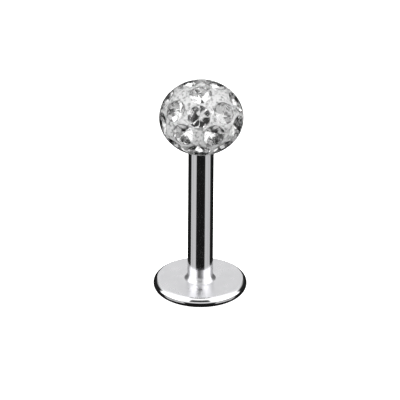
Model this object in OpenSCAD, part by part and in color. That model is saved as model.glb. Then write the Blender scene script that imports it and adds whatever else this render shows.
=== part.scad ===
/*
Labret stud with a stone-set ball, in millimetres.

The stud stands on its disc at the origin, with +Z up along the post and -Y towards the front.
The ball screws on to the end of the post. Its surface is an oval of revolution made of two kinds
of arc: one round the middle and one over each pole. Everything in the ball is set a stated depth
under that surface, so the coat, the setting and the stones follow it.
*/

/* [Disc] */
// Diameter of the disc that lies inside the lip
disc_d = 4.4; // [3.8:0.1:6]
// Thickness of the disc
disc_t = 0.5; // [0.4:0.05:0.8]
// How far the rounded rim stands out past the flat faces
rim_bulge = 0.18; // [0.1:0.01:0.2]

/* [Post] */
// Diameter of the post, a 16 gauge wire
post_d = 1.2; // [1.1:0.05:1.6]
// Length of post between the disc and the ball
post_l = 6.9; // [4:0.1:12]
// Height of the fillet at the foot of the post
foot_h = 0.3; // [0.1:0.05:0.4]
// How far the fillet stands out from the post where it meets the disc
foot_w = 0.14; // [0.08:0.01:0.3]

/* [Screw end] */
// Diameter of the screw end, at the root of its thread
screw_d = 0.89; // [0.7:0.01:0.96]
// Length of the screw end past the post's shoulder
screw_l = 1.8; // [1.2:0.1:2]
// Chamfer at the tip of the screw end
tip_chamfer = 0.12; // [0.05:0.01:0.2]
// Room for the thread between the screw end's root and its bore, all round
bore_gap = 0.125; // [0.05:0.005:0.14]
// Room in the bore past the tip of the screw end
bore_room = 0.15; // [0.05:0.05:0.3]

/* [Ball] */
// Width of the ball across its middle
ball_w = 3.96; // [3.7:0.02:5]
// How much less the ball measures from pole to pole than across
ball_flattening = 0.46; // [0:0.02:0.6]
// Radius of the circle that carries the centre of the middle arc
middle_arc_offset = 0.43; // [0.36:0.01:0.6]
// Radius of the flat under the ball, where it meets the post
flat_r = 0.85; // [0.82:0.01:0.95]
// Steel between the bore and the outside of the core
core_wall = 0.2; // [0.1:0.01:0.22]
// Steel over the end of the bore
core_top = 0.25; // [0.15:0.05:0.35]
// Gap between the pieces that are bonded together in the ball
bond_gap = 0.015; // [0.01:0.005:0.02]

/* [Coat] */
// Thickness of the clear coat
coat_t = 0.06; // [0.04:0.01:0.1]

/* [Stones] */
// Least gap between two stones, which leaves a thin wall of the setting between them
stone_gap = 0.05; // [0.04:0.01:0.1]
// Width of the table, as a share of the stone
table_share = 0.56; // [0.5:0.01:0.62]
// Depth of the girdles under the ball's surface, which sets the height of the crowns
girdle_depth = 0.2; // [0.18:0.01:0.24]
// Depth of the pavilion, as a share of the stone
pavilion_share = 0.43; // [0.4:0.01:0.46]
// Thickness of the girdle
girdle_t = 0.02; // [0.01:0.005:0.03]

/* [Hidden] */
$fn = 64;

post_r = post_d/2;
screw_r = screw_d/2;
bore_r = screw_r + bore_gap;
core_r = bore_r + core_wall;
seat_z = disc_t + post_l;

// The ball's oval
middle_r = ball_w/2 - middle_arc_offset;
half_h = (ball_w - ball_flattening)/2;
rise = half_h - middle_r;
cap_drop = (middle_arc_offset*middle_arc_offset - rise*rise)/(2*rise);
cap_r = half_h + cap_drop;
join_elevation = atan2(cap_drop, middle_arc_offset);
flat_drop = sqrt(cap_r*cap_r - flat_r*flat_r) - cap_drop;
ball_z = seat_z + flat_drop;
reach = ball_w;

// The core and what is set round it
core_h = screw_l + bore_room + core_top;
setting_depth = coat_t + bond_gap;

// Each row of stones: how far up they face, how many there are, and the bearing of the first one.
// Elevations and bearings are in degrees, and bearings start from the front.
stone_rows = [
  // elevation, count, first bearing
  [ 70, 3, -4],
  [ 36, 8, -4],
  [ -2, 8, 18.5],
  [-41, 8, -4],
];
function elevation(entry) = entry[0];
function count(row) = row[1];
function first_bearing(row) = row[2];

// Each stone, by its elevation and its bearing
stones = [
  for (row = stone_rows)
    for (i = [0:count(row) - 1])
      [elevation(row), first_bearing(row) + 360*i/count(row)]
];
function bearing(stone) = stone[1];

// The cut of a stone. Eight main facets and eight between them, above and below the girdle.
MAINS = 8;
HALF_STEP = 180/MAINS;
// Where the star facets end, from the table's corner to the girdle
star_share = 0.5;
// Where the lower halves end, from the axis to the girdle
lower_half_share = 0.16;

// The stones take the room that the closest two leave each other
stone_d = closest_pitch(girdle_depth) - stone_gap;
stone_r = stone_d/2;
table_r = stone_r*table_share;
pavilion_h = stone_d*pavilion_share;
table_sag = middle_r - setting_depth - sqrt(pow(middle_r - setting_depth, 2) - table_r*table_r);
crown_h = girdle_depth - setting_depth - table_sag;
star_r = table_r + star_share*(stone_r - table_r);
star_z = crown_h*(1 - (star_r*cos(HALF_STEP) - table_r)/(stone_r - table_r));
lower_half_r = lower_half_share*stone_r;
lower_half_z = -girdle_t - pavilion_h*(1 - lower_half_r*cos(HALF_STEP)/stone_r);
culet_z = -girdle_t - pavilion_h;

function stone_name(i) = str("stone_", i < 9 ? "0" : "", i + 1);

// The distance from the ball's axis and the height over its middle of a point at a depth under the
// oval, where the oval faces up by so many degrees
function oval_point(up, depth) =
  abs(up) <= join_elevation
  ? [middle_arc_offset + (middle_r - depth)*cos(up), (middle_r - depth)*sin(up)]
  : [(cap_r - depth)*cos(up), (cap_r - depth)*sin(up) - sign(up)*cap_drop];

// A stone's place in the ball
function stone_place(stone, depth) =
  let (p = oval_point(elevation(stone), depth), b = bearing(stone))
  [p[0]*sin(b), -p[0]*cos(b), p[1]];

// The distance between the two stones that are closest, at a depth
function closest_pitch(depth) =
  let (places = [for (stone = stones) stone_place(stone, depth)])
  min([
    for (i = [0:len(places) - 2])
      for (j = [i + 1:len(places) - 1])
        norm(places[i] - places[j])
  ]);

// A level ring of a stone's corners
function ring(r, z, corners, turn) =
  [for (i = [0:corners - 1]) let (a = turn + 360*i/corners) [r*cos(a), r*sin(a), z]];

// Puts its children at a stone's place, with +Z out through the table
module on_stone(stone) {
  place = oval_point(elevation(stone), girdle_depth);
  translate([0, 0, ball_z])
    rotate([0, 0, bearing(stone)])
      translate([0, -place[0], place[1]])
        rotate([90 - elevation(stone), 0, 0])
          children();
}

// Half of the oval, at a depth under the ball's surface
module half_oval(depth) {
  join_x = (cap_r - depth)*cos(join_elevation);
  union() {
    intersection() {
      translate([0, -cap_drop]) circle(cap_r - depth);
      translate([0, cap_drop]) circle(cap_r - depth);
      translate([0, -reach]) square([join_x, 2*reach]);
    }
    intersection() {
      translate([middle_arc_offset, 0]) circle(middle_r - depth);
      translate([0, -reach]) square([reach, 2*reach]);
    }
  }
}

// The space that the core fills, with a gap all round it, open below
module core_room() {
  translate([0, -reach]) square([core_r + bond_gap, reach - flat_drop + core_h + bond_gap]);
}

// Half of the disc, with its rounded rim
module half_disc() {
  rim_r = (disc_t*disc_t/4 + rim_bulge*rim_bulge)/(2*rim_bulge);
  square([disc_d/2 - rim_bulge, disc_t]);
  intersection() {
    translate([disc_d/2 - rim_r, disc_t/2]) circle(rim_r);
    square([disc_d, disc_t]);
  }
}

// Half of the fillet, an arc that runs out of the post's wall and meets the disc at an angle
module half_foot() {
  foot_r = (foot_h*foot_h + foot_w*foot_w)/(2*foot_w);
  difference() {
    square([post_r + foot_w, disc_t + foot_h]);
    translate([post_r + foot_r, disc_t + foot_h]) circle(foot_r);
  }
}

module bar() {
  color([0.78, 0.78, 0.79]) rotate_extrude() {
    half_disc();
    half_foot();
    square([post_r, seat_z]);
    polygon([
      [0, 0],
      [screw_r, 0],
      [screw_r, seat_z + screw_l - tip_chamfer],
      [screw_r - tip_chamfer, seat_z + screw_l],
      [0, seat_z + screw_l],
    ]);
  }
}

module ball_core() {
  color([0.7, 0.7, 0.72]) translate([0, 0, seat_z]) difference() {
    cylinder(h = core_h, r = core_r);
    translate([0, 0, -bore_room]) cylinder(h = bore_room + screw_l + bore_room, r = bore_r);
  }
}

// The hollow that holds a stone: a cone for the pavilion and a round wall from the girdle outwards
module socket() {
  socket_r = stone_r + bond_gap;
  socket_foot_z = culet_z - 2*bond_gap;
  rotate_extrude() polygon([
    [0, socket_foot_z],
    [bond_gap, socket_foot_z],
    [socket_r, -girdle_t],
    [socket_r, reach],
    [0, reach],
  ]);
}

module setting() {
  color([0.86, 0.86, 0.87]) difference() {
    translate([0, 0, ball_z]) rotate_extrude() difference() {
      half_oval(setting_depth);
      core_room();
    }
    for (stone = stones) on_stone(stone) socket();
  }
}

module clear_coat() {
  color([0.9, 0.95, 1, 0.4]) translate([0, 0, ball_z]) rotate_extrude() difference() {
    half_oval(0);
    half_oval(coat_t);
    core_room();
    translate([0, -reach]) square([reach, reach - flat_drop]);
  }
}

// A round brilliant with its girdle's upper edge at height 0
module brilliant() {
  table = ring(table_r, crown_h, MAINS, 0);
  star_tips = ring(star_r, star_z, MAINS, HALF_STEP);
  girdle_top = ring(stone_r, 0, 2*MAINS, 0);
  girdle_foot = ring(stone_r, -girdle_t, 2*MAINS, 0);
  lower_halves = ring(lower_half_r, lower_half_z, MAINS, HALF_STEP);

  // Where each ring starts in the list of corners
  t = 0;
  s = t + MAINS;
  g = s + MAINS;
  f = g + 2*MAINS;
  p = f + 2*MAINS;
  culet = p + MAINS;

  polyhedron(
    points = concat(table, star_tips, girdle_top, girdle_foot, lower_halves, [[0, 0, culet_z]]),
    faces = concat(
      [[for (i = [MAINS - 1:-1:0]) t + i]],
      [for (i = [0:MAINS - 1])
        let (
          next = (i + 1)%MAINS, last = (i + MAINS - 1)%MAINS,
          main = 2*i, half = 2*i + 1, next_main = 2*next
        )
        each [
          [t + i, t + next, s + i],
          [t + i, s + i, g + main, s + last],
          [s + i, g + half, g + main],
          [s + i, g + next_main, g + half],
          [g + main, g + half, f + half, f + main],
          [g + half, g + next_main, f + next_main, f + half],
          [f + main, f + half, p + i],
          [f + half, f + next_main, p + i],
          [f + main, p + i, culet, p + last],
        ]
      ]
    )
  );
}

module stone(i) {
  color([0.93, 0.95, 0.97]) on_stone(stones[i]) brilliant();
}

bar();
ball_core();
setting();
clear_coat();
for (i = [0:len(stones) - 1]) {
  stone(i);
}
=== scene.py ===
"""Looks of the labret stud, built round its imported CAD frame.

The frame is the part's own: the disc's underside lies on z = 0, +Z runs up the post and -Y is the
front. Sizes below are in millimetres where a name or a docstring says so, and in metres otherwise.
"""

import logging
import math
import random
from dataclasses import dataclass, field
from enum import Enum, IntEnum

import bmesh
import bpy
from mathutils import Euler, Matrix, Vector


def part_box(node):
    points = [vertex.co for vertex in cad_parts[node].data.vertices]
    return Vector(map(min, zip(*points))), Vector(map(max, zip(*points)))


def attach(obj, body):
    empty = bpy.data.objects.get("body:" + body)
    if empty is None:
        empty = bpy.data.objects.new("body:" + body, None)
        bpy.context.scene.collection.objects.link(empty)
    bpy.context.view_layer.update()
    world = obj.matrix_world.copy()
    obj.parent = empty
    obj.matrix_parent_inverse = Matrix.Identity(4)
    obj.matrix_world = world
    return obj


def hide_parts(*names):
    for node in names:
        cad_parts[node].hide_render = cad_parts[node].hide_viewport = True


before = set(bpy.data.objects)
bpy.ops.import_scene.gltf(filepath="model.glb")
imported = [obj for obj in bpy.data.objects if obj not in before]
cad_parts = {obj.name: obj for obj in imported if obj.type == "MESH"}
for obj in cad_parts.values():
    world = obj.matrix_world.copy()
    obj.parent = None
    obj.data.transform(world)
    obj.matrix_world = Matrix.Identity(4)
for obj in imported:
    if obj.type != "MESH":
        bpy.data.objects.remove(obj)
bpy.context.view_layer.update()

LOG = logging.getLogger("labret_stud")
# A millimetre, in metres
MM = 0.001
# The corners of a turned piece round its axis, and the longest step along an arc of its outline
ROUND_STEPS = 160
ARC_STEP_DEG = 4.0
# Corners closer than this are one, in metres
MERGE_M = 1e-9
# Lengths closer than this count as equal, in metres
NEAR_M = 1e-6
# A stone's corners beyond this share of its radius belong to its girdle
GIRDLE_SHARE = 0.99
# The most that a stone set by hand leans in its seat
MOST_LEAN_DEG = 4.5


def linear(hex_colour: str) -> tuple[float, float, float, float]:
    """Turns an sRGB hex colour into Blender's linear one.

    Args:
        hex_colour: the colour as "#RRGGBB".

    Returns:
        Red, green, blue and an alpha of 1.
    """
    shares = [int(hex_colour[i : i + 2], 16) / 255 for i in (1, 3, 5)]
    red, green, blue = (
        s / 12.92 if s <= 0.04045 else ((s + 0.055) / 1.055) ** 2.4 for s in shares
    )
    return red, green, blue, 1.0


def add_node(
    tree: bpy.types.NodeTree, kind: str, inputs: dict | None = None, **settings: object
) -> bpy.types.Node:
    """Adds a node to a tree, with its settings and links.

    Args:
        tree: the material's, world's or geometry's node tree.
        kind: the node's type, as Blender names it.
        inputs: for each input, by name or number, its value, the output that feeds it, or a list
            of outputs where it takes several.
        settings: the node's own properties.

    Returns:
        The new node.
    """
    node = tree.nodes.new(kind)
    for name, value in settings.items():
        setattr(node, name, value)
    for key, value in (inputs or {}).items():
        feeds = value if isinstance(value, list) else [value]
        for feed in feeds:
            if isinstance(feed, bpy.types.NodeSocket):
                tree.links.new(feed, node.inputs[key])
            else:
                node.inputs[key].default_value = feed
    return node


def new_material(name: str) -> tuple[bpy.types.Material, bpy.types.NodeTree, bpy.types.Node]:
    """Makes an empty material.

    Args:
        name: the material's name.

    Returns:
        The material, its node tree and its output node.
    """
    material = bpy.data.materials.new(name)
    material.use_nodes = True
    tree = material.node_tree
    tree.nodes.clear()
    return material, tree, add_node(tree, "ShaderNodeOutputMaterial")


class Lay(Enum):
    """The way that the marks of polishing run on a round piece."""

    ALONG = "along the axis, as on drawn wire"
    AROUND = "round the axis, as on turned work"


@dataclass(frozen=True)
class PolishedSteel:
    """Surgical steel, turned or drawn and then buffed to a mirror.

    Its reflections are nearly sharp, with faint streaks the way that the marks of polishing run.
    Smudges make it a little rougher or smoother than its own roughness, by the shares given.
    """

    name: str
    lay: Lay
    roughness: float
    colour: str = "#DBDBDD"
    smudge_mm: float = 0.6
    smudge_detail: float = 3.0
    smudge_from: float = 0.3
    smudge_to: float = 0.7
    smoothest_share: float = 0.7
    roughest_share: float = 1.4
    mark_mm: float = 0.05
    mark_detail: float = 2.0
    mark_depth_mm: float = 0.0002
    mark_stretch: float = 0.02
    smear: float = 0.0
    smear_turn: float = 0.25
    dull_roughness: float = 0.0
    dull_low_mm: float = 0.5
    dull_high_mm: float = 0.9

    def material(self) -> bpy.types.Material:
        """Builds the material.

        Returns:
            The material.
        """
        material, tree, output = new_material(self.name)
        place = add_node(tree, "ShaderNodeTexCoord").outputs["Object"]
        axes = add_node(tree, "ShaderNodeSeparateXYZ", {0: place}).outputs
        if self.lay is Lay.ALONG:
            height = add_node(
                tree, "ShaderNodeMath", {0: axes["Z"], 1: self.mark_stretch}, operation="MULTIPLY"
            )
            run = add_node(
                tree,
                "ShaderNodeCombineXYZ",
                {"X": axes["X"], "Y": axes["Y"], "Z": height.outputs[0]},
            )
        else:
            across = add_node(
                tree, "ShaderNodeVectorMath", {0: place, 1: (1.0, 1.0, 0.0)}, operation="MULTIPLY"
            )
            radius = add_node(
                tree, "ShaderNodeVectorMath", {0: across.outputs[0]}, operation="LENGTH"
            )
            run = add_node(
                tree, "ShaderNodeCombineXYZ", {"X": radius.outputs["Value"], "Z": axes["Z"]}
            )
        # Real polishing marks are finer than a pixel, so these are drawn coarse enough to show
        marks = add_node(
            tree,
            "ShaderNodeTexNoise",
            {
                "Vector": run.outputs[0],
                "Scale": 1 / (self.mark_mm * MM),
                "Detail": self.mark_detail,
            },
        )
        smudges = add_node(
            tree,
            "ShaderNodeTexNoise",
            {
                "Vector": place,
                "Scale": 1 / (self.smudge_mm * MM),
                "Detail": self.smudge_detail,
            },
        )
        roughness = add_node(
            tree,
            "ShaderNodeMapRange",
            {
                "Value": smudges.outputs[0],
                "From Min": self.smudge_from,
                "From Max": self.smudge_to,
                "To Min": self.roughness * self.smoothest_share,
                "To Max": self.roughness * self.roughest_share,
            },
        )
        # A buffing wheel doesn't reach into the corner at the foot of the post, which stays duller
        dull = add_node(
            tree,
            "ShaderNodeMapRange",
            {
                "Value": axes["Z"],
                "From Min": self.dull_low_mm * MM,
                "From Max": self.dull_high_mm * MM,
                "To Min": self.dull_roughness,
                "To Max": 0.0,
            },
        )
        duller = add_node(
            tree,
            "ShaderNodeMath",
            {0: roughness.outputs[0], 1: dull.outputs[0]},
            operation="ADD",
        )
        bump = add_node(
            tree,
            "ShaderNodeBump",
            {"Height": marks.outputs[0], "Distance": self.mark_depth_mm * MM},
        )
        around = add_node(tree, "ShaderNodeTangent", direction_type="RADIAL", axis="Z")
        steel = add_node(
            tree,
            "ShaderNodeBsdfPrincipled",
            {
                "Base Color": linear(self.colour),
                "Metallic": 1.0,
                "Roughness": duller.outputs[0],
                "Anisotropic": self.smear,
                "Anisotropic Rotation": self.smear_turn,
                "Tangent": around.outputs[0],
                "Normal": bump.outputs[0],
            },
        )
        tree.links.new(steel.outputs[0], output.inputs["Surface"])
        return material


@dataclass(frozen=True)
class ClearResin:
    """Clear casting resin that levelled itself, with no colour of its own.

    It makes a glassy dome, whose slow ripples bend the stones' flashes a little.
    """

    name: str = "clear_epoxy_resin"
    colour: str = "#FFFFFF"
    roughness: float = 0.0
    ior: float = 1.5
    ripple_mm: float = 0.9
    ripple_detail: float = 0.0
    ripple_depth_mm: float = 0.02

    def material(self) -> bpy.types.Material:
        """Builds the material.

        Returns:
            The material.
        """
        material, tree, output = new_material(self.name)
        place = add_node(tree, "ShaderNodeTexCoord").outputs["Object"]
        ripples = add_node(
            tree,
            "ShaderNodeTexNoise",
            {
                "Vector": place,
                "Scale": 1 / (self.ripple_mm * MM),
                "Detail": self.ripple_detail,
            },
        )
        bump = add_node(
            tree,
            "ShaderNodeBump",
            {"Height": ripples.outputs[0], "Distance": self.ripple_depth_mm * MM},
        )
        resin = add_node(
            tree,
            "ShaderNodeBsdfPrincipled",
            {
                "Base Color": linear(self.colour),
                "Roughness": self.roughness,
                "IOR": self.ior,
                "Transmission Weight": 1.0,
                "Normal": bump.outputs[0],
            },
        )
        tree.links.new(resin.outputs[0], output.inputs["Surface"])
        return material


@dataclass(frozen=True)
class CutGlass:
    """Cut and polished crystal glass inside resin, whose facets bend light only a little there.

    The IOR is that of the glass set against the resin round it.
    """

    name: str = "cut_crystal_glass"
    colour: str = "#FFFFFF"
    roughness: float = 0.0
    ior: float = 1.07

    def material(self) -> bpy.types.Material:
        """Builds the material.

        Returns:
            The material.
        """
        material, tree, output = new_material(self.name)
        glass = add_node(
            tree,
            "ShaderNodeBsdfPrincipled",
            {
                "Base Color": linear(self.colour),
                "Roughness": self.roughness,
                "IOR": self.ior,
                "Transmission Weight": 1.0,
            },
        )
        tree.links.new(glass.outputs[0], output.inputs["Surface"])
        return material


@dataclass(frozen=True)
class SilverFoil:
    """Silver mirror coat on the back of a stone, which throws the light back out of its table."""

    name: str = "silver_foil"
    colour: str = "#DCDCDC"
    roughness: float = 0.03

    def material(self) -> bpy.types.Material:
        """Builds the material.

        Returns:
            The material.
        """
        material, tree, output = new_material(self.name)
        foil = add_node(
            tree,
            "ShaderNodeBsdfPrincipled",
            {
                "Base Color": linear(self.colour),
                "Metallic": 1.0,
                "Roughness": self.roughness,
            },
        )
        tree.links.new(foil.outputs[0], output.inputs["Surface"])
        return material


@dataclass(frozen=True)
class EpoxyClay:
    """Pale two-part clay pressed round the stones: mottled with painted shade, dented and half
    matt.

    The painted grey shade and the dents break up the white between the stones into fine flecks.
    """

    name: str = "pale_epoxy_clay"
    colour: str = "#FAFAFA"
    # The grey of the painted shade patches, which stand for the dappled light under the resin
    painted_shade: str = "#9C9C9C"
    roughness: float = 0.3
    dents_and_painted_shade_mm: float = 0.16
    dents_and_painted_shade_detail: float = 4.0
    painted_shade_below: float = 0.32
    pale_above: float = 0.55
    dent_mm: float = 0.07

    def material(self) -> bpy.types.Material:
        """Builds the material.

        Returns:
            The material.
        """
        material, tree, output = new_material(self.name)
        place = add_node(tree, "ShaderNodeTexCoord").outputs["Object"]
        dents_and_painted_shade = add_node(
            tree,
            "ShaderNodeTexNoise",
            {
                "Vector": place,
                "Scale": 1 / (self.dents_and_painted_shade_mm * MM),
                "Detail": self.dents_and_painted_shade_detail,
            },
        )
        painted_shade_patches = add_node(
            tree,
            "ShaderNodeMapRange",
            {
                "Value": dents_and_painted_shade.outputs[0],
                "From Min": self.painted_shade_below,
                "From Max": self.pale_above,
            },
            interpolation_type="SMOOTHSTEP",
        )
        # Grey patches of painted shade over the clay's own pale colour, from the same noise as the
        # dents
        colour = add_node(
            tree,
            "ShaderNodeMix",
            {0: painted_shade_patches.outputs[0], 6: linear(self.painted_shade), 7: linear(self.colour)},
            data_type="RGBA",
        )
        bump = add_node(
            tree,
            "ShaderNodeBump",
            {"Height": dents_and_painted_shade.outputs[0], "Distance": self.dent_mm * MM},
        )
        clay = add_node(
            tree,
            "ShaderNodeBsdfPrincipled",
            {
                "Base Color": colour.outputs[2],
                "Roughness": self.roughness,
                "Normal": bump.outputs[0],
            },
        )
        tree.links.new(clay.outputs[0], output.inputs["Surface"])
        return material


@dataclass(frozen=True)
class StudioPaper:
    """Matt white background paper on a light table, whose glow takes away the shadows."""

    name: str = "white_background_paper"
    colour: str = "#F4F4F4"
    roughness: float = 0.9
    glow: float = 0.7

    def material(self) -> bpy.types.Material:
        """Builds the material.

        Returns:
            The material.
        """
        material, tree, output = new_material(self.name)
        paper = add_node(
            tree,
            "ShaderNodeBsdfPrincipled",
            {
                "Base Color": linear(self.colour),
                "Roughness": self.roughness,
                "Specular IOR Level": 0.0,
                "Emission Color": linear(self.colour),
                "Emission Strength": self.glow,
            },
        )
        tree.links.new(paper.outputs[0], output.inputs["Surface"])
        return material


def arc(
    centre_mm: tuple[float, float], radius_mm: float, start_deg: float, end_deg: float
) -> list[tuple[float, float]]:
    """Works out the points along an arc of an outline.

    Args:
        centre_mm: distance from the axis and height of the arc's centre.
        radius_mm: the arc's radius.
        start_deg: where it starts, in degrees up from the outward direction.
        end_deg: where it ends.

    Returns:
        The arc's points in millimetres, both ends included.
    """
    r, z = centre_mm
    steps = max(2, math.ceil(abs(end_deg - start_deg) / ARC_STEP_DEG))
    angles = [math.radians(start_deg + (end_deg - start_deg) * i / steps) for i in range(steps + 1)]
    return [(r + radius_mm * math.cos(a), z + radius_mm * math.sin(a)) for a in angles]


def crisp(mesh: bpy.types.Mesh, crease_deg: float) -> None:
    """Turns a closed mesh's faces outwards and shades it smooth between its creases.

    Args:
        mesh: the mesh.
        crease_deg: edges that bend more than this stay crisp.
    """
    shell = bmesh.new()
    shell.from_mesh(mesh)
    bmesh.ops.remove_doubles(shell, verts=shell.verts, dist=MERGE_M)
    bmesh.ops.recalc_face_normals(shell, faces=shell.faces)
    for face in shell.faces:
        face.smooth = True
    for edge in shell.edges:
        edge.smooth = edge.calc_face_angle(0.0) < math.radians(crease_deg)
    shell.to_mesh(mesh)
    shell.free()


def turned(
    name: str,
    outline_mm: list[tuple[float, float]],
    materials: list[bpy.types.Material],
    crease_deg: float = 12,
) -> bpy.types.Object:
    """Turns an outline round the Z axis into a closed, smooth piece.

    Args:
        name: the piece's name.
        outline_mm: distances from the axis and heights, from the lower pole outwards and up.
        materials: its finishes. All its faces start with the first.
        crease_deg: edges that bend more than this stay crisp.

    Returns:
        The new object.
    """
    shell = bmesh.new()
    turns = [2 * math.pi * i / ROUND_STEPS for i in range(ROUND_STEPS)]
    rings = []
    for r_mm, z_mm in outline_mm:
        r, z = r_mm * MM, z_mm * MM
        if r < MERGE_M:
            rings.append([shell.verts.new((0.0, 0.0, z))])
        else:
            rings.append([shell.verts.new((r * math.cos(t), r * math.sin(t), z)) for t in turns])
    for low, high in zip(rings, rings[1:]):
        for i in range(ROUND_STEPS):
            j = (i + 1) % ROUND_STEPS
            if len(low) == 1:
                shell.faces.new((low[0], high[j], high[i]))
            elif len(high) == 1:
                shell.faces.new((low[i], low[j], high[0]))
            else:
                shell.faces.new((low[i], low[j], high[j], high[i]))
    mesh = bpy.data.meshes.new(name)
    shell.to_mesh(mesh)
    shell.free()
    crisp(mesh, crease_deg)
    for material in materials:
        mesh.materials.append(material)
    piece = bpy.data.objects.new(name, mesh)
    bpy.context.scene.collection.objects.link(piece)
    return piece


def grown(name: str, tree: bpy.types.NodeTree, values: dict[str, object]) -> bpy.types.Object:
    """Runs a geometry tree on its own and keeps the result as a plain mesh.

    Args:
        name: the piece's name.
        tree: the geometry node tree.
        values: what each of its named inputs is set to.

    Returns:
        The new object, without the tree's modifier.
    """
    seed = bpy.data.objects.new(name, bpy.data.meshes.new(name))
    bpy.context.scene.collection.objects.link(seed)
    modifier = seed.modifiers.new(tree.name, "NODES")
    modifier.node_group = tree
    for item in tree.interface.items_tree:
        if item.in_out == "INPUT":
            modifier[item.identifier] = values[item.name]
    evaluated = seed.evaluated_get(bpy.context.evaluated_depsgraph_get())
    mesh = bpy.data.meshes.new_from_object(evaluated)
    seed.modifiers.clear()
    seed.data = mesh
    mesh.name = name
    return seed


def new_geometry_tree(
    name: str, inputs: dict[str, str]
) -> tuple[bpy.types.NodeTree, bpy.types.NodeOutputs]:
    """Makes a geometry tree with named inputs.

    Args:
        name: the tree's name.
        inputs: each input's name and the type of its socket.

    Returns:
        The tree and the outputs that carry its inputs.
    """
    tree = bpy.data.node_groups.new(name, "GeometryNodeTree")
    tree.is_modifier = True
    for label, kind in inputs.items():
        tree.interface.new_socket(label, in_out="INPUT", socket_type=kind)
    tree.interface.new_socket("Geometry", in_out="OUTPUT", socket_type="NodeSocketGeometry")
    return tree, add_node(tree, "NodeGroupInput").outputs


class BarSlot(IntEnum):
    """The bar's finishes, in the order of its material slots."""

    DISC = 0
    RIM = 1
    POST = 2


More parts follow.
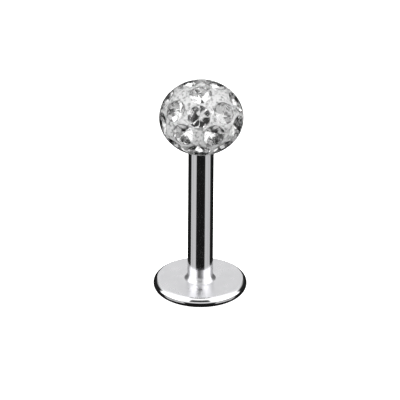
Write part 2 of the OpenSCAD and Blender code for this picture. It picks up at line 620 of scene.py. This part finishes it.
@dataclass
class Bar:
    """The labret bar: disc, fillet, post and threaded screw end."""

    post_r_mm: float = 0.6
    disc_t_mm: float = 0.5
    rim_bulge_mm: float = 0.18
    foot_h_mm: float = 0.3
    foot_w_mm: float = 0.14
    face_margin_mm: float = 0.001
    shoulder_edge_mm: float = 0.02
    screw_r_mm: float = 0.445
    tip_chamfer_mm: float = 0.12
    thread_pitch_mm: float = 0.25
    thread_crest_r_mm: float = 0.555
    thread_foot_mm: float = 0.22
    thread_crest_mm: float = 0.03
    thread_sink_mm: float = 0.02
    thread_end_gap_mm: float = 0.12
    thread_fade_share: float = 0.06
    thread_end_share: float = 0.05
    thread_steps: int = 48
    thread_crease_deg: float = 20.0
    disc_steel: PolishedSteel = PolishedSteel(
        "polished_surgical_steel_disc", Lay.AROUND, roughness=0.3
    )
    rim_steel: PolishedSteel = PolishedSteel(
        "polished_surgical_steel_rim", Lay.AROUND, roughness=0.06
    )
    post_steel: PolishedSteel = PolishedSteel(
        "polished_surgical_steel_post",
        Lay.ALONG,
        roughness=0.08,
        smear=0.9,
        dull_roughness=0.4,
    )

    def __post_init__(self) -> None:
        """Reads the overall sizes from the frame."""
        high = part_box("bar")[1]
        self.disc_r_mm = high.x / MM
        self.tip_z_mm = high.z / MM
        self.seat_z_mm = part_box("ball_core")[0].z / MM

    def outline(self) -> list[tuple[float, float]]:
        """Draws the bar's outline, in millimetres.

        Returns:
            Distances from the axis and heights, from the middle of the underside to the tip.
        """
        half_t = self.disc_t_mm / 2
        rim_r = (half_t**2 + self.rim_bulge_mm**2) / (2 * self.rim_bulge_mm)
        rim_centre = (self.disc_r_mm - rim_r, half_t)
        rim_end = math.degrees(math.asin(half_t / rim_r))
        foot_r = (self.foot_h_mm**2 + self.foot_w_mm**2) / (2 * self.foot_w_mm)
        foot_centre = (self.post_r_mm + foot_r, self.disc_t_mm + self.foot_h_mm)
        foot_start = math.degrees(math.asin(self.foot_h_mm / foot_r)) - 180
        return [
            (0.0, 0.0),
            *arc(rim_centre, rim_r, -rim_end, rim_end),
            *arc(foot_centre, foot_r, foot_start, -180),
            (self.post_r_mm, self.seat_z_mm - self.shoulder_edge_mm),
            (self.post_r_mm - self.shoulder_edge_mm, self.seat_z_mm),
            (self.screw_r_mm, self.seat_z_mm),
            (self.screw_r_mm, self.tip_z_mm - self.tip_chamfer_mm),
            (self.screw_r_mm - self.tip_chamfer_mm, self.tip_z_mm),
            (0.0, self.tip_z_mm),
        ]

    def thread_tree(self) -> bpy.types.NodeTree:
        """Makes the geometry tree of a screw thread, a ridge on a helix that fades at both ends.

        Returns:
            The tree.
        """
        sizes = (
            "Turns",
            "Length",
            "Start",
            "Root Radius",
            "Sink",
            "Height",
            "Foot",
            "Crest",
            "Fade",
            "End Share",
        )
        tree, given = new_geometry_tree(
            "screw_thread",
            {**{size: "NodeSocketFloat" for size in sizes}, "Finish": "NodeSocketMaterial"},
        )
        helix = add_node(
            tree,
            "GeometryNodeCurveSpiral",
            {
                "Resolution": self.thread_steps,
                "Rotations": given["Turns"],
                "Start Radius": given["Root Radius"],
                "End Radius": given["Root Radius"],
                "Height": given["Length"],
                "Reverse": True,
            },
        )
        upright = add_node(
            tree, "GeometryNodeSetCurveNormal", {"Curve": helix.outputs[0]}, mode="Z_UP"
        )
        along = add_node(tree, "GeometryNodeSplineParameter").outputs["Factor"]
        left = add_node(tree, "ShaderNodeMath", {0: 1.0, 1: along}, operation="SUBTRACT")
        nearest = add_node(
            tree, "ShaderNodeMath", {0: along, 1: left.outputs[0]}, operation="MINIMUM"
        )
        fade = add_node(
            tree,
            "ShaderNodeMapRange",
            {
                "Value": nearest.outputs[0],
                "From Max": given["Fade"],
                "To Min": given["End Share"],
            },
        )
        ridge = add_node(
            tree,
            "GeometryNodeCurvePrimitiveQuadrilateral",
            {
                "Height": given["Height"],
                "Bottom Width": given["Foot"],
                "Top Width": given["Crest"],
                "Offset": 0.0,
            },
            mode="TRAPEZOID",
        )
        # The ridge is drawn with its crest up, and a quarter turn points it out from the axis
        out = add_node(tree, "ShaderNodeCombineXYZ", {"X": given["Sink"]})
        placed = add_node(
            tree,
            "GeometryNodeTransform",
            {
                "Geometry": ridge.outputs[0],
                "Translation": out.outputs[0],
                "Rotation": Euler((0.0, 0.0, -math.pi / 2)),
            },
        )
        swept = add_node(
            tree,
            "GeometryNodeCurveToMesh",
            {
                "Curve": upright.outputs[0],
                "Profile Curve": placed.outputs[0],
                "Scale": fade.outputs[0],
                "Fill Caps": True,
            },
        )
        up = add_node(tree, "ShaderNodeCombineXYZ", {"Z": given["Start"]})
        lifted = add_node(
            tree,
            "GeometryNodeTransform",
            {"Geometry": swept.outputs[0], "Translation": up.outputs[0]},
        )
        real = add_node(tree, "GeometryNodeRealizeInstances", {0: lifted.outputs[0]})
        finished = add_node(
            tree,
            "GeometryNodeSetMaterial",
            {"Geometry": real.outputs[0], "Material": given["Finish"]},
        )
        add_node(tree, "NodeGroupOutput", {0: finished.outputs[0]})
        return tree

    def thread(self, finish: bpy.types.Material) -> bpy.types.Object:
        """Cuts the screw end's right-handed thread.

        Args:
            finish: the steel's material.

        Returns:
            The thread, as a piece of its own.
        """
        start_mm = self.seat_z_mm + self.thread_end_gap_mm
        length_mm = self.tip_z_mm - self.tip_chamfer_mm - start_mm
        proud_mm = self.thread_crest_r_mm - self.screw_r_mm
        height_mm = proud_mm + self.thread_sink_mm
        values = {
            "Turns": length_mm / self.thread_pitch_mm,
            "Length": length_mm * MM,
            "Start": start_mm * MM,
            "Root Radius": self.screw_r_mm * MM,
            "Sink": (proud_mm - self.thread_sink_mm) / 2 * MM,
            "Height": height_mm * MM,
            "Foot": self.thread_foot_mm * MM,
            "Crest": self.thread_crest_mm * MM,
            "Fade": self.thread_fade_share,
            "End Share": self.thread_end_share,
            "Finish": finish,
        }
        piece = grown("screw_thread", self.thread_tree(), values)
        crisp(piece.data, self.thread_crease_deg)
        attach(piece, "bar")
        return piece

    def build(self) -> list[bpy.types.Object]:
        """Builds and dresses the bar.

        Returns:
            The bar's pieces.
        """
        steels = {
            BarSlot.DISC: self.disc_steel,
            BarSlot.RIM: self.rim_steel,
            BarSlot.POST: self.post_steel,
        }
        finishes = [steels[slot].material() for slot in BarSlot]
        bar = turned("labret_bar", self.outline(), finishes)
        # The rim is what lies outside the disc's flat faces, and all above the disc is the post
        foot_z = (self.disc_t_mm + self.face_margin_mm) * MM
        flat_r = (self.disc_r_mm - self.rim_bulge_mm) * MM
        for face in bar.data.polygons:
            if face.center.z > foot_z:
                face.material_index = BarSlot.POST
            elif face.center.xy.length > flat_r:
                face.material_index = BarSlot.RIM
        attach(bar, "bar")
        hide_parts("bar")
        return [bar, self.thread(finishes[BarSlot.POST])]


@dataclass(frozen=True)
class Lie:
    """How a stone lies in its seat: its turn about its own axis, the way it leans and how far."""

    twist_deg: float
    way_deg: float
    lean_deg: float = MOST_LEAN_DEG


@dataclass(frozen=True)
class Seat:
    """A stone's place and sizes, as its CAD node has them, in metres.

    Its centre is the middle of the girdle's upper edge.
    """

    centre: Vector
    outward: Vector
    girdle_r: float
    girdle_t: float
    table_r: float
    crown_h: float
    pavilion_h: float

    @classmethod
    def of_node(cls, node: bpy.types.Object, ball_centre: Vector) -> "Seat":
        """Measures a stone.

        Args:
            node: the stone's CAD node.
            ball_centre: the centre of the ball, which the stone's point faces.

        Returns:
            Its place and sizes.
        """
        corners = [v.co.copy() for v in node.data.vertices]
        culet = min(corners, key=lambda c: (c - ball_centre).length)
        middle = sum(corners, Vector()) / len(corners)
        outward = (middle - culet).normalized()
        heights = [(c - culet).dot(outward) for c in corners]
        radii = [(c - culet - outward * h).length for c, h in zip(corners, heights)]
        girdle_r = max(radii)
        table_z = max(heights)
        girdle = [h for h, r in zip(heights, radii) if r > GIRDLE_SHARE * girdle_r]
        table = [r for h, r in zip(heights, radii) if h > table_z - NEAR_M]
        return cls(
            centre=culet + outward * max(girdle),
            outward=outward,
            girdle_r=girdle_r,
            girdle_t=max(girdle) - min(girdle),
            table_r=max(table),
            crown_h=table_z - max(girdle),
            pavilion_h=min(girdle),
        )

    def facing(self, lie: Lie) -> Euler:
        """Points a stone out of its seat.

        Args:
            lie: how the stone lies.

        Returns:
            The turn, with the stone's own +Y up the ball before its twist.
        """
        side = Vector((0.0, 0.0, 1.0)).cross(self.outward)
        if side.length < NEAR_M:
            side = Vector((1.0, 0.0, 0.0))
        side.normalize()
        up = self.outward.cross(side)
        turn = Matrix((side, up, self.outward)).transposed()
        turn = turn @ Matrix.Rotation(math.radians(lie.way_deg), 3, "Z")
        turn = turn @ Matrix.Rotation(math.radians(lie.lean_deg), 3, "X")
        turn = turn @ Matrix.Rotation(math.radians(lie.twist_deg - lie.way_deg), 3, "Z")
        return turn.to_euler()


# The stones at the front and the top, set one by one from the photo's flashes
FRONT_LIES = {
    "stone_01": Lie(twist_deg=22, way_deg=300),
    "stone_02": Lie(twist_deg=22, way_deg=0),
    "stone_03": Lie(twist_deg=22, way_deg=0),
    "stone_04": Lie(twist_deg=22, way_deg=300),
    "stone_05": Lie(twist_deg=22, way_deg=0),
    "stone_06": Lie(twist_deg=0, way_deg=180),
    "stone_11": Lie(twist_deg=0, way_deg=300),
    "stone_12": Lie(twist_deg=22, way_deg=60),
    "stone_19": Lie(twist_deg=22, way_deg=60),
    "stone_20": Lie(twist_deg=22, way_deg=60),
}


@dataclass
class Stones:
    """The cut stones of the ball, each a round brilliant with foil behind it."""

    mains: int = 8
    star_share: float = 0.5
    lower_half_share: float = 0.75
    foil_slope: float = -0.3
    most_twist_deg: float = 45.0
    lift_mm: float = 0.045
    seed: int = 5
    glass: CutGlass = CutGlass()
    foil: SilverFoil = SilverFoil()

    def brilliant_tree(self) -> bpy.types.NodeTree:
        """Makes the geometry tree of one stone, the hull of rings of corners, put in its seat.

        Returns:
            The tree.
        """
        sizes = (
            "Table Radius",
            "Table Height",
            "Star Radius",
            "Star Height",
            "Girdle Radius",
            "Girdle Foot",
            "Lower Half Radius",
            "Lower Half Height",
            "Culet Height",
        )
        tree, given = new_geometry_tree(
            "round_brilliant",
            {
                **{size: "NodeSocketFloat" for size in sizes},
                "Mains": "NodeSocketInt",
                "Half Step": "NodeSocketRotation",
                "Place": "NodeSocketVector",
                "Facing": "NodeSocketRotation",
                "Glass": "NodeSocketMaterial",
                "Foil": "NodeSocketMaterial",
            },
        )
        doubled = add_node(
            tree, "ShaderNodeMath", {0: given["Mains"], 1: 2.0}, operation="MULTIPLY"
        )
        # Each ring's radius, its height over the girdle's upper edge, its number of corners and
        # whether they stand half a step round
        rings = (
            ("Table Radius", "Table Height", given["Mains"], False),
            ("Star Radius", "Star Height", given["Mains"], True),
            ("Girdle Radius", None, doubled.outputs[0], False),
            ("Girdle Radius", "Girdle Foot", doubled.outputs[0], False),
            ("Lower Half Radius", "Lower Half Height", given["Mains"], True),
        )
        parts = []
        for radius, height, count, between in rings:
            ring = add_node(
                tree, "GeometryNodeMeshCircle", {"Vertices": count, "Radius": given[radius]}
            )
            level = add_node(tree, "ShaderNodeCombineXYZ", {"Z": given[height]} if height else None)
            placed = add_node(
                tree,
                "GeometryNodeTransform",
                {"Geometry": ring.outputs[0], "Translation": level.outputs[0]},
            )
            if between:
                tree.links.new(given["Half Step"], placed.inputs["Rotation"])
            parts.append(placed.outputs[0])
        culet_place = add_node(tree, "ShaderNodeCombineXYZ", {"Z": given["Culet Height"]})
        culet = add_node(
            tree, "GeometryNodeMeshLine", {"Count": 1, "Start Location": culet_place.outputs[0]}
        )
        parts.append(culet.outputs[0])
        corners = add_node(tree, "GeometryNodeJoinGeometry", {0: parts})
        hull = add_node(tree, "GeometryNodeConvexHull", {0: corners.outputs[0]})
        normal = add_node(tree, "GeometryNodeInputNormal")
        slope = add_node(tree, "ShaderNodeSeparateXYZ", {0: normal.outputs[0]})
        under = add_node(
            tree,
            "FunctionNodeCompare",
            {0: slope.outputs["Z"], 1: self.foil_slope},
            data_type="FLOAT",
            operation="LESS_THAN",
        )
        # Which facets are foiled is kept from before the stone is turned
        kept = add_node(tree, "GeometryNodeCaptureAttribute", domain="FACE")
        kept.capture_items.new("BOOLEAN", "under")
        tree.links.new(hull.outputs[0], kept.inputs["Geometry"])
        tree.links.new(under.outputs[0], kept.inputs["under"])
        seated = add_node(
            tree,
            "GeometryNodeTransform",
            {
                "Geometry": kept.outputs["Geometry"],
                "Translation": given["Place"],
                "Rotation": given["Facing"],
            },
        )
        real = add_node(tree, "GeometryNodeRealizeInstances", {0: seated.outputs[0]})
        cut = add_node(
            tree,
            "GeometryNodeSetMaterial",
            {"Geometry": real.outputs[0], "Material": given["Glass"]},
        )
        backed = add_node(
            tree,
            "GeometryNodeSetMaterial",
            {
                "Geometry": cut.outputs[0],
                "Selection": kept.outputs["under"],
                "Material": given["Foil"],
            },
        )
        add_node(tree, "NodeGroupOutput", {0: backed.outputs[0]})
        return tree

    def build(self, ball_centre: Vector) -> list[bpy.types.Object]:
        """Builds and dresses the stones.

        Args:
            ball_centre: the centre of the ball.

        Returns:
            One piece for each stone.
        """
        tree = self.brilliant_tree()
        glass, foil = self.glass.material(), self.foil.material()
        half_step = math.pi / self.mains
        hand = random.Random(self.seed)
        pieces = []
        for name in sorted(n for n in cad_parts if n.startswith("stone_")):
            seat = Seat.of_node(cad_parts[name], ball_centre)
            # Stones set by hand never sit quite alike
            twist = hand.uniform(0, self.most_twist_deg)
            lean = hand.uniform(0, MOST_LEAN_DEG)
            way = hand.uniform(0, 360)
            lie = FRONT_LIES.get(name, Lie(twist, way, lean))
            rim = seat.girdle_r - seat.table_r
            star_r = seat.table_r + self.star_share * rim
            lower_r = self.lower_half_share * seat.girdle_r
            # The corners half a step round lie in the planes of the main facets on both sides
            star_drop = (star_r * math.cos(half_step) - seat.table_r) / rim
            lower_drop = 1 - lower_r * math.cos(half_step) / seat.girdle_r
            values = {
                "Table Radius": seat.table_r,
                "Table Height": seat.crown_h,
                "Star Radius": star_r,
                "Star Height": seat.crown_h * (1 - star_drop),
                "Girdle Radius": seat.girdle_r,
                "Girdle Foot": -seat.girdle_t,
                "Lower Half Radius": lower_r,
                "Lower Half Height": -seat.girdle_t - seat.pavilion_h * lower_drop,
                "Culet Height": -seat.girdle_t - seat.pavilion_h,
                "Mains": self.mains,
                "Half Step": Euler((0.0, 0.0, half_step)),
                "Place": seat.centre + seat.outward * self.lift_mm * MM,
                "Facing": seat.facing(lie),
                "Glass": glass,
                "Foil": foil,
            }
            piece = grown(f"cut_{name}", tree, values)
            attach(piece, "ball")
            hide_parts(name)
            pieces.append(piece)
        return pieces


@dataclass
class Ball:
    """The ball: steel core, clay setting, stones and clear coat."""

    flattening_mm: float = 0.46
    middle_arc_offset_mm: float = 0.43
    flat_r_mm: float = 0.85
    bore_r_mm: float = 0.57
    bore_depth_mm: float = 1.95
    bury_mm: float = 0.02
    pole_gap_deg: float = 0.5
    stones: Stones = field(default_factory=Stones)
    resin: ClearResin = ClearResin()
    clay: EpoxyClay = EpoxyClay()
    core_steel: PolishedSteel = PolishedSteel(
        "turned_surgical_steel", Lay.AROUND, roughness=0.12, mark_depth_mm=0.0004
    )

    def __post_init__(self) -> None:
        """Works out the oval from the frame."""
        low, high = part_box("clear_coat")
        core_low, core_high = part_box("ball_core")
        self.core_low_mm, self.core_high_mm = core_low.z / MM, core_high.z / MM
        self.core_r_mm = core_high.x / MM
        width = (high.x - low.x) / MM
        self.middle_r_mm = width / 2 - self.middle_arc_offset_mm
        self.half_h_mm = (width - self.flattening_mm) / 2
        # The wide arcs of the two caps run into the arc round the middle without a corner
        rise = self.half_h_mm - self.middle_r_mm
        self.cap_drop_mm = (self.middle_arc_offset_mm**2 - rise**2) / (2 * rise)
        self.cap_r_mm = self.half_h_mm + self.cap_drop_mm
        self.join_deg = math.degrees(math.atan2(self.cap_drop_mm, self.middle_arc_offset_mm))
        self.centre_z_mm = high.z / MM - self.half_h_mm

    def coat_outline(self) -> list[tuple[float, float]]:
        """Draws the outline of the clear body, an oval with a hollow for the core, in millimetres.

        Its hollow is buried a little in the core, so that no air shows between them.

        Returns:
            Distances from the axis and heights, from the top of the hollow to the top of the ball.
        """
        inner_r = self.core_r_mm - self.bury_mm
        z = self.centre_z_mm
        foot_deg = math.degrees(math.acos(self.flat_r_mm / self.cap_r_mm))
        pole_deg = 90 - self.pole_gap_deg
        return [
            (0.0, self.core_high_mm - self.bury_mm),
            (inner_r, self.core_high_mm - self.bury_mm),
            (inner_r, self.core_low_mm),
            *arc((0.0, z + self.cap_drop_mm), self.cap_r_mm, -foot_deg, -self.join_deg)[:-1],
            *arc((self.middle_arc_offset_mm, z), self.middle_r_mm, -self.join_deg, self.join_deg),
            *arc((0.0, z - self.cap_drop_mm), self.cap_r_mm, self.join_deg, pole_deg)[1:],
            (0.0, z + self.half_h_mm),
        ]

    def core_outline(self) -> list[tuple[float, float]]:
        """Draws the core's outline, in millimetres.

        Returns:
            Distances from the axis and heights, from the end of its bore to its top.
        """
        return [
            (0.0, self.core_low_mm + self.bore_depth_mm),
            (self.bore_r_mm, self.core_low_mm + self.bore_depth_mm),
            (self.bore_r_mm, self.core_low_mm),
            (self.core_r_mm, self.core_low_mm),
            (self.core_r_mm, self.core_high_mm),
            (0.0, self.core_high_mm),
        ]

    def build(self) -> list[bpy.types.Object]:
        """Builds and dresses the ball.

        Returns:
            The ball's pieces.
        """
        coat = turned("clear_resin_coat", self.coat_outline(), [self.resin.material()])
        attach(coat, "ball")
        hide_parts("clear_coat")
        core = turned("steel_core", self.core_outline(), [self.core_steel.material()])
        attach(core, "ball")
        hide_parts("ball_core")
        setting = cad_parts["setting"]
        setting.data.materials.clear()
        setting.data.materials.append(self.clay.material())
        centre = Vector((0.0, 0.0, self.centre_z_mm * MM))
        return [coat, core, setting, *self.stones.build(centre)]


@dataclass(frozen=True)
class Panel:
    """A soft light or a dark card in the studio, by its direction from the stud.

    Its angles and the width of its soft edge are in degrees. Its bearing is from the front, and
    it stands on both sides alike. Its level is its light, where white paper has 1.
    """

    name: str
    bearing: float
    half_width: float
    elevation: float
    half_height: float
    level: float
    soft: float = 6.0

    def inside(
        self,
        tree: bpy.types.NodeTree,
        bearing: bpy.types.NodeSocket,
        elevation: bpy.types.NodeSocket,
    ) -> bpy.types.NodeSocket:
        """Tells which directions the panel covers.

        Args:
            tree: the world's node tree.
            bearing: a direction's bearing, in degrees.
            elevation: its elevation, in degrees.

        Returns:
            1 inside the panel and 0 outside it, with a soft edge between them.
        """
        shares = []
        for angle, middle, half in (
            (bearing, self.bearing, self.half_width),
            (elevation, self.elevation, self.half_height),
        ):
            off = add_node(tree, "ShaderNodeMath", {0: angle, 1: middle}, operation="SUBTRACT")
            away = add_node(tree, "ShaderNodeMath", {0: off.outputs[0]}, operation="ABSOLUTE")
            edge = add_node(
                tree,
                "ShaderNodeMapRange",
                {
                    "Value": away.outputs[0],
                    "From Min": half + self.soft / 2,
                    "From Max": half - self.soft / 2,
                    "To Min": 0.0,
                    "To Max": 1.0,
                },
                interpolation_type="SMOOTHSTEP",
            )
            shares.append(edge.outputs[0])
        both = add_node(tree, "ShaderNodeMath", {0: shares[0], 1: shares[1]}, operation="MULTIPLY")
        return both.outputs[0]


@dataclass
class Studio:
    """The plain pale floor, the soft light and the camera."""

    floor_half_m: float = 0.3
    photo_px: float = 400.0
    px_per_mm: float = 21.31
    distance_mm: float = 350.0
    elevation_deg: float = 27.6
    roll_deg: float = 0.45
    sensor_mm: float = 36.0
    clip_start_m: float = 0.01
    aim_x_mm: float = -0.033
    aim_z_mm: float = 4.625
    backdrop: str = "#FFFFFF"
    backdrop_level: float = 1.0
    level_above: float = 1.5
    level_below: float = 0.012
    horizon_soft_deg: float = 4.0
    table_glow: float = 1.0
    glow_full_deg: float = -20.0
    glow_end_deg: float = 10.0
    clear_bounces: int = 40
    opaque_bounces: int = 24
    # Name, bearing, half width, elevation, half height, level and soft edge. Later ones lie on top.
    panels: tuple[Panel, ...] = (
        Panel("side lights", 72, 36, 22, 28, 2.2),
        Panel("side reflectors, low", 67, 27, -28, 13, 0.72),
        Panel("seam between the side reflectors", 73, 2, -28, 13, 0.5, 4),
        Panel("front edge of the table", 0, 42, -4, 8, 0.9, 5),
        Panel("back wall", 180, 60, 28, 24, 0.98, 20),
        Panel("gap under the back wall", 180, 38, 1, 13, 0.02, 16),
        Panel("corners of the back wall", 138, 32, 6, 21, 0.02, 16),
        Panel("camera", 0, 25, 32, 22, 0.08, 5),
        Panel("key lights", 50, 8, 52, 8, 9.0, 3),
    )
    paper: StudioPaper = StudioPaper()

    def floor(self) -> None:
        """Lays the floor, which the steel doesn't mirror and the resin doesn't show."""
        half = self.floor_half_m
        mesh = bpy.data.meshes.new("floor")
        mesh.from_pydata(
            [(-half, -half, 0), (half, -half, 0), (half, half, 0), (-half, half, 0)],
            [],
            [(0, 1, 2, 3)],
        )
        mesh.materials.append(self.paper.material())
        floor = bpy.data.objects.new("floor", mesh)
        bpy.context.scene.collection.objects.link(floor)
        floor.visible_glossy = False
        floor.visible_transmission = False

    def light(self) -> None:
        """Sets the world: a white tent above, dark below, and the panels."""
        world = bpy.data.worlds.new("soft_studio")
        world.use_nodes = True
        tree = world.node_tree
        tree.nodes.clear()
        way = add_node(tree, "ShaderNodeTexCoord").outputs["Generated"]
        axes = add_node(tree, "ShaderNodeSeparateXYZ", {0: way}).outputs
        back = add_node(tree, "ShaderNodeMath", {0: axes["Y"], 1: -1.0}, operation="MULTIPLY")
        turn = add_node(
            tree, "ShaderNodeMath", {0: axes["X"], 1: back.outputs[0]}, operation="ARCTAN2"
        )
        side = add_node(tree, "ShaderNodeMath", {0: turn.outputs[0]}, operation="ABSOLUTE")
        bearing = add_node(tree, "ShaderNodeMath", {0: side.outputs[0]}, operation="DEGREES")
        rise = add_node(tree, "ShaderNodeMath", {0: axes["Z"]}, operation="ARCSINE")
        elevation = add_node(tree, "ShaderNodeMath", {0: rise.outputs[0]}, operation="DEGREES")
        level = add_node(
            tree,
            "ShaderNodeMapRange",
            {
                "Value": elevation.outputs[0],
                "From Min": -self.horizon_soft_deg / 2,
                "From Max": self.horizon_soft_deg / 2,
                "To Min": self.level_below,
                "To Max": self.level_above,
            },
            interpolation_type="SMOOTHSTEP",
        ).outputs[0]
        for panel in self.panels:
            inside = panel.inside(tree, bearing.outputs[0], elevation.outputs[0])
            level = add_node(
                tree,
                "ShaderNodeMix",
                {0: inside, 2: level, 3: panel.level},
                data_type="FLOAT",
                label=panel.name,
            ).outputs[0]
        # The table's white light from below counts only for light that a matt surface has thrown
        # on, and the mirrors see the dark room there
        matt = add_node(
            tree,
            "ShaderNodeMath",
            {0: add_node(tree, "ShaderNodeLightPath").outputs["Diffuse Depth"], 1: 0.5},
            operation="GREATER_THAN",
        )
        glow = add_node(
            tree,
            "ShaderNodeMapRange",
            {
                "Value": elevation.outputs[0],
                "From Min": self.glow_full_deg,
                "From Max": self.glow_end_deg,
                "To Min": self.table_glow,
                "To Max": 0.0,
            },
        )
        fill = add_node(
            tree, "ShaderNodeMath", {0: matt.outputs[0], 1: glow.outputs[0]}, operation="MULTIPLY"
        )
        level = add_node(
            tree, "ShaderNodeMath", {0: level, 1: fill.outputs[0]}, operation="MAXIMUM"
        ).outputs[0]
        lit = add_node(tree, "ShaderNodeBackground", {"Color": level})
        seen = add_node(
            tree,
            "ShaderNodeBackground",
            {"Color": linear(self.backdrop), "Strength": self.backdrop_level},
        )
        direct = add_node(tree, "ShaderNodeLightPath").outputs["Is Camera Ray"]
        both = add_node(
            tree, "ShaderNodeMixShader", {0: direct, 1: lit.outputs[0], 2: seen.outputs[0]}
        )
        add_node(tree, "ShaderNodeOutputWorld", {"Surface": both.outputs[0]})
        bpy.context.scene.world = world

    def camera(self) -> None:
        """Sets the camera at the photograph's angle and scale."""
        data = bpy.data.cameras.new("camera")
        data.sensor_width = self.sensor_mm
        data.lens = self.px_per_mm * self.distance_mm * self.sensor_mm / self.photo_px
        data.clip_start = self.clip_start_m
        camera = bpy.data.objects.new("camera", data)
        bpy.context.scene.collection.objects.link(camera)
        rise = math.radians(self.elevation_deg)
        aim = Vector((self.aim_x_mm * MM, 0.0, self.aim_z_mm * MM))
        away = Vector((0.0, -math.cos(rise), math.sin(rise)))
        turn = Euler((math.pi / 2 - rise, 0.0, 0.0)).to_matrix()
        turn = turn @ Matrix.Rotation(math.radians(self.roll_deg), 3, "Z")
        camera.matrix_world = Matrix.Translation(aim + away * self.distance_mm * MM) @ turn.to_4x4()
        bpy.context.scene.camera = camera

    def build(self) -> None:
        """Sets up the whole studio."""
        self.floor()
        self.light()
        self.camera()
        scene = bpy.context.scene
        scene.view_settings.view_transform = "Standard"
        # The light bounces many times between the clay, the foil and the resin's inner surface
        scene.cycles.max_bounces = self.clear_bounces
        scene.cycles.diffuse_bounces = self.opaque_bounces
        scene.cycles.glossy_bounces = self.opaque_bounces
        scene.cycles.transmission_bounces = self.clear_bounces


def main() -> None:
    """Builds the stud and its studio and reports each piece."""
    logging.basicConfig(level=logging.INFO, format="%(message)s")
    for assembly in (Bar(), Ball()):
        for piece in assembly.build():
            faces = len(piece.data.polygons)
            LOG.info("%s: %s, %d faces", type(assembly).__name__, piece.name, faces)
    Studio().build()


if __name__ == "__main__":
    main()
